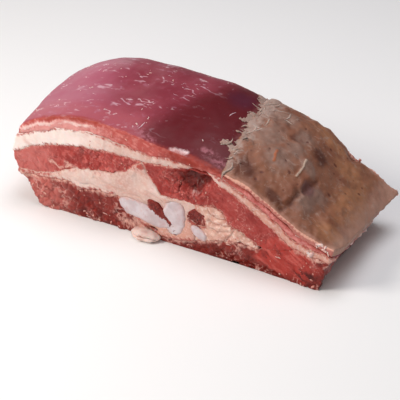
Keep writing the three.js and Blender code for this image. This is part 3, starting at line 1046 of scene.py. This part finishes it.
darkLean = wetTissue("deepRedRibBeef", {  # lean between the ribs: dark, very wet, with pale strands of tissue
    "patch": 12, "colours": ("#6c1811", "#822820"), "roughness": (0.32, 0.46),
    "shine": 0.2, "wet": 0.5, "wetRoughness": 0.1, "glow": 0.1, "depth": 2.0,
    "layers": (
        painted("rosyEnd", "#b9645c", 9, 1.4, (0.6, 1.7)),
        cloud("#9a352b", 4.5, (0.5, 0.7), strength=0.6, bump=0.2),
        cloud("#611510", 9, (0.46, 0.64), strength=0.45, warp=6),
        cloud("#a8443a", 2.4, (0.5, 0.72), strength=0.35, bump=0.15, warp=3),
        wisps("#cf958a", 10, (0.05, 0.01), strength=0.75, warp=6, bump=0.25, patches=(14, 0.5, 0.6)),
        wisps("#d9a79c", 4.5, (0.06, 0.01), strength=0.4, warp=3, bump=0.15, patches=(9, 0.56, 0.64)),
        cloud("#c58078", 8, (0.6, 0.72), strength=0.5, warp=6, within=("rosyEnd",)),
        painted("raw", "#b03a31", 5, 0.9, (0.6, 1.3), strength=0.8),
        painted("paleFibre", "#bd544b", 3, 0.8, (0.6, 1.4), grain=(-38, 3)),
        painted("fatEdge", "#dcab9d", 3, 1.9, (1.25, 2.1), grain=(-60, 2), strength=0.9),
        # painted shade in grooves, holes and gaps between fibres
        painted("deep", "#380806", 2, 0.7, (0.5, 1.3), strength=0.9),
    ),
})


# The sawn ends of the rib bones

bones = (
    {"name": "ribBoneLarge", "node": "rib_bone_large"},
    {"name": "ribBoneMiddle", "node": "rib_bone_middle"},
    {"name": "ribBoneSmall", "node": "rib_bone_small"},
)
boneSkin = {"slot": "bone", "voxel": 0.6, "soften": 4, "grow": 0.8, "crown": 0.7, "rimWidth": 2.6}


def shapeBone(spec, points, normals, cut):
    others = near(fatSurface, points, cut, spec["rimWidth"])
    lift = cut * (spec["crown"] * (1 - others) + 0.3 * ripple(points, 9, 80) + 0.1 * ripple(points, 2, 81))
    return lift, {"rim": np.maximum(1 - cut, others)}


sawnBone = wetTissue("sawnRibBone", {  # rib bone, sawn and wiped by the blade: smooth, milky, faintly lilac
    "patch": 9, "colours": ("#c3b1b4", "#d3c7cb"), "roughness": (0.3, 0.42),
    "wet": 0.3, "wetRoughness": 0.18, "glow": 0.25, "depth": 2.5,
    "layers": (
        cloud("#bd9797", 5, (0.52, 0.7), strength=0.5, warp=4),
        dots("#b0908e", 1.6, (0.3, 0.15), share=0.4, strength=0.35, bump=-0.06),
        painted("rim", "#cf998f", 2.4, 1.4, (0.95, 1.9), strength=0.7),
    ),
})


# Loose bits on the surfaces: a few bent spindles at true size, scattered where a piece's attribute says

def bitKinds(spec):
    kinds = bpy.data.collections.new(f"{spec['name']}Kinds")
    draw = np.random.default_rng(spec["seed"])
    for number in range(spec["kinds"]):
        length, wide = draw.uniform(*spec["long"]), draw.uniform(*spec["wide"])
        bow, wave = draw.uniform(-1, 1, 2) * spec["bend"]
        shape = bmesh.new()
        bmesh.ops.create_uvsphere(shape, u_segments=5, v_segments=spec["rings"], radius=0.5)
        for vertex in shape.verts:
            y, z, x = vertex.co  # the poles come to lie along X
            sway = bow * (4 * x * x - 0.5) + wave * math.sin(2 * math.pi * x)
            thick = wide * draw.uniform(0.8, 1.2)
            vertex.co = Vector((x * length, y * thick + sway * length, z * thick * spec["flat"])) * mm
        mesh = bpy.data.meshes.new(f"{spec['name']}Kind{number}")
        shape.to_mesh(mesh)
        shape.free()
        kinds.objects.link(bpy.data.objects.new(mesh.name, mesh))
    return kinds


def scatterTree(spec):
    tree = bpy.data.node_groups.new(f"scatter_{spec['name']}", "GeometryNodeTree")
    ids = {}
    for label, kind in (
        ("Ground", "Geometry"), ("Bits", "Collection"), ("Bits per square metre", "Float"),
        ("Smallest", "Float"), ("Largest", "Float"), ("Along", "Vector"), ("Turn", "Float"), ("Seed", "Int"),
        ("Finish", "Material"),
    ):
        socket = tree.interface.new_socket(label, in_out="INPUT", socket_type=f"NodeSocket{kind}")
        ids[label] = socket.identifier
    tree.interface.new_socket("Bits", in_out="OUTPUT", socket_type="NodeSocketGeometry")
    given = addNode(tree, "NodeGroupInput").outputs
    share = addNode(tree, "GeometryNodeInputNamedAttribute", {"Name": spec["where"]},
                    data_type="FLOAT").outputs[0]
    density = addNode(tree, "ShaderNodeMath", {0: share, 1: given["Bits per square metre"]},
                      operation="MULTIPLY")
    spread = addNode(tree, "GeometryNodeDistributePointsOnFaces", {
        "Mesh": given["Ground"], "Density": density.outputs[0], "Seed": given["Seed"],
    }).outputs
    upright = addNode(tree, "FunctionNodeAlignRotationToVector", {"Vector": spread["Normal"]},
                      axis="Z").outputs[0]
    laid = addNode(tree, "FunctionNodeAlignRotationToVector", {
        "Rotation": upright, "Vector": given["Along"],
    }, axis="X", pivot_axis="Z").outputs[0]
    less = addNode(tree, "ShaderNodeMath", {0: given["Turn"], 1: -1.0}, operation="MULTIPLY").outputs[0]
    angle = addNode(tree, "FunctionNodeRandomValue", {2: less, 3: given["Turn"], "Seed": given["Seed"]},
                    data_type="FLOAT").outputs[1]
    twist = addNode(tree, "ShaderNodeCombineXYZ", {"Z": angle}).outputs[0]
    turned = addNode(tree, "FunctionNodeRotateRotation", {"Rotation": laid, "Rotate By": twist},
                     rotation_space="LOCAL").outputs[0]
    size = addNode(tree, "FunctionNodeRandomValue", {
        2: given["Smallest"], 3: given["Largest"], "Seed": given["Seed"],
    }, data_type="FLOAT").outputs[1]
    kinds = addNode(tree, "GeometryNodeCollectionInfo", {
        "Collection": given["Bits"], "Separate Children": True, "Reset Children": True,
    }).outputs[0]
    placed = addNode(tree, "GeometryNodeInstanceOnPoints", {
        "Points": spread["Points"], "Instance": kinds, "Pick Instance": True, "Rotation": turned,
        "Scale": size,
    }).outputs[0]
    real = addNode(tree, "GeometryNodeRealizeInstances", {"Geometry": placed}).outputs[0]
    done = addNode(tree, "GeometryNodeSetMaterial", {
        "Geometry": real, "Material": given["Finish"],
    }).outputs[0]
    addNode(tree, "NodeGroupOutput", {0: done})
    return tree, ids


def scatterOver(grounds, spec, material):
    kinds = bitKinds(spec)
    tree, ids = scatterTree(spec)
    made = bmesh.new()
    for order, ground in enumerate(grounds):
        piece = addObject(spec["name"], ground.data.copy())
        modifier = piece.modifiers.new("scatter", "NODES")
        modifier.node_group = tree
        for label, value in (
            ("Bits", kinds), ("Bits per square metre", float(spec["perSquareMetre"])),
            ("Smallest", spec["scale"][0]), ("Largest", spec["scale"][1]), ("Along", spec["along"]),
            ("Turn", math.radians(spec["turn"])), ("Seed", spec["seed"] + order), ("Finish", material),
        ):
            modifier[ids[label]] = value
        settle(piece)
        made.from_mesh(piece.data)
        bpy.data.objects.remove(piece)
    mesh = bpy.data.meshes.new(spec["name"])
    made.to_mesh(mesh)
    made.free()
    for piece in list(kinds.objects):
        bpy.data.objects.remove(piece)
    bpy.data.collections.remove(kinds)
    mesh.materials.append(material)
    mesh.shade_smooth()
    bits = addObject(spec["name"], mesh)
    points = readSkin(bits)[0]
    points[:, 2] = np.maximum(points[:, 2], 0)
    writeSkin(bits, points)
    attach(bits, "root")
    say(f"{spec['name']}: {len(mesh.polygons)} faces")
    return bits


looseBits = {"slot": "seam_fat", "scale": (0.5, 1.1), "along": (1.0, 0.0, 0.0)}  # unless a kind says other
membraneFlecks = {  # specks of torn membrane and fat on the dome
    **looseBits, "name": "membraneFlecks", "where": "fleckShare", "seed": 7, "kinds": 9, "rings": 5,
    "long": (1.2, 3.2), "wide": (0.9, 1.6), "flat": 0.5, "bend": 0.15, "perSquareMetre": 9000,
    "scale": (0.45, 1.1), "turn": 180,
}
membraneThreads = {
    **looseBits, "name": "membraneThreads", "where": "fleckShare", "seed": 11, "kinds": 7, "rings": 9,
    "long": (4, 10), "wide": (0.6, 1.1), "flat": 0.3, "bend": 0.12, "perSquareMetre": 1900,
    "along": (1.0, 0.6, 0.0), "turn": 60,
}
capThreads = {  # dried threads tangled over the cap's frayed start
    **looseBits, "name": "capThreads", "where": "fibreShare", "seed": 17, "kinds": 9, "rings": 10,
    "long": (8, 20), "wide": (1.2, 2.2), "flat": 0.5, "bend": 0.16, "perSquareMetre": 30000,
    "along": (1.0, 0.7, 0.0), "turn": 60,
}
cutBeads = {  # small wet beads of fat and torn lean that the saw leaves
    **looseBits, "name": "cutBeads", "where": "beadShare", "seed": 23, "kinds": 8, "rings": 4,
    "long": (1.0, 2.4), "wide": (0.8, 1.5), "flat": 0.7, "bend": 0.1, "perSquareMetre": 10000,
    "scale": (0.45, 1.1), "turn": 180,
}
cutShreds = {
    **looseBits, "name": "cutShreds", "where": "shredShare", "seed": 31, "kinds": 8, "rings": 8,
    "long": (2.5, 6), "wide": (0.9, 1.6), "flat": 0.4, "bend": 0.15, "perSquareMetre": 1800,
    "along": (1.0, 0.0, -0.5), "turn": 70,
}
footFrills = {  # torn fat and membrane along the foot of the front cut
    **looseBits, "name": "footFrills", "where": "footShare", "seed": 37, "kinds": 8, "rings": 6,
    "long": (1.8, 4.5), "wide": (1.3, 2.6), "flat": 0.7, "bend": 0.12, "perSquareMetre": 24000, "turn": 80,
}
cornerBits = {  # lumps of white fat at the thin end's corners
    **looseBits, "name": "cornerBits", "where": "bitShare", "seed": 41, "kinds": 8, "rings": 6,
    "long": (4, 9), "wide": (2.0, 4.0), "flat": 0.5, "bend": 0.2, "perSquareMetre": 40000,
    "along": (1.0, 0.0, -0.5), "turn": 90,
}
paleBits = wetTissue("tornFatBits", {  # torn fat and membrane: pale pink to cream, glistening
    "patch": 6, "colours": ("#d09a92", "#e9cdc6"), "roughness": (0.3, 0.45),
    "wet": 0.4, "wetRoughness": 0.12, "glow": 0.3, "depth": 2,
    "layers": (
        cloud("#cf8f83", 1.2, (0.5, 0.7), strength=0.5, bump=0.08),
    ),
})
lilacThreads = wetTissue("tornMembraneThreads", {  # torn silverskin: thin, translucent, lilac to white
    "patch": 5, "colours": ("#ad7986", "#cfa9b1"), "roughness": (0.3, 0.42),
    "wet": 0.3, "wetRoughness": 0.15, "glow": 0.2, "depth": 1,
    "layers": (
        cloud("#ecd9dc", 1.2, (0.5, 0.7), strength=0.6, bump=0.05),
    ),
})
dryThreads = wetTissue("driedMembraneThreads", {  # dried membrane: off-white, dull, nearly straw where thick
    "patch": 8, "colours": ("#927a6f", "#b5a096"), "roughness": (0.45, 0.6),
    "wet": 0.1, "wetRoughness": 0.3, "glow": 0.2, "depth": 1,
    "layers": (
        cloud("#cbb9ad", 1.5, (0.5, 0.7), strength=0.6, bump=0.05),
    ),
})
beadGlaze = wetTissue("wetBeadsOfFat", {  # beads of pink fat and juice: soft, wet, bright points
    "patch": 5, "colours": ("#c06f64", "#dca99c"), "roughness": (0.22, 0.35),
    "wet": 0.6, "wetRoughness": 0.08, "glow": 0.3, "depth": 1.5,
    "layers": (
        cloud("#ecc9be", 1.5, (0.5, 0.7), strength=0.6, bump=0.05),
    ),
})

dome = layPiece(domeMuscle, shapeDome, silverskin)
cap = layPiece(capFat, shapeCap, driedFat)
upper = layPiece(upperSeam, shapeUpperSeam, waxyFat)
layPiece(lowerSeam, shapeLowerSeam, waxyFat)
lobe = layPiece(lobes, shapeLobes, lobeFat)
layPiece(looseEnd, shapeLobes, waxyFat)
left = layPiece(leftLean, shapeLeftLean, freshLean)
right = layPiece(rightLean, shapeRightLean, freshLean)
rib = layPiece(ribLean, shapeRibLean, darkLean)
for wedge in (narrowWedge, wideWedge):
    layPiece(wedge, shapeWedge, darkLean)
for bone in bones:
    layPiece({**boneSkin, **bone}, shapeBone, sawnBone)
scatterOver((dome,), membraneFlecks, paleBits)
scatterOver((dome,), membraneThreads, lilacThreads)
fell = laySheet(tornFell, (dome, cap), driedFat)
scatterOver((cap, fell), capThreads, dryThreads)
scatterOver((dome, upper, lobe, left, right, rib), cutBeads, beadGlaze)
scatterOver((left, right, rib), cutShreds, paleBits)
scatterOver((rib,), footFrills, beadGlaze)
scatterOver((cap, upper), cornerBits, paleBits)

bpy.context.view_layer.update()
say("done")
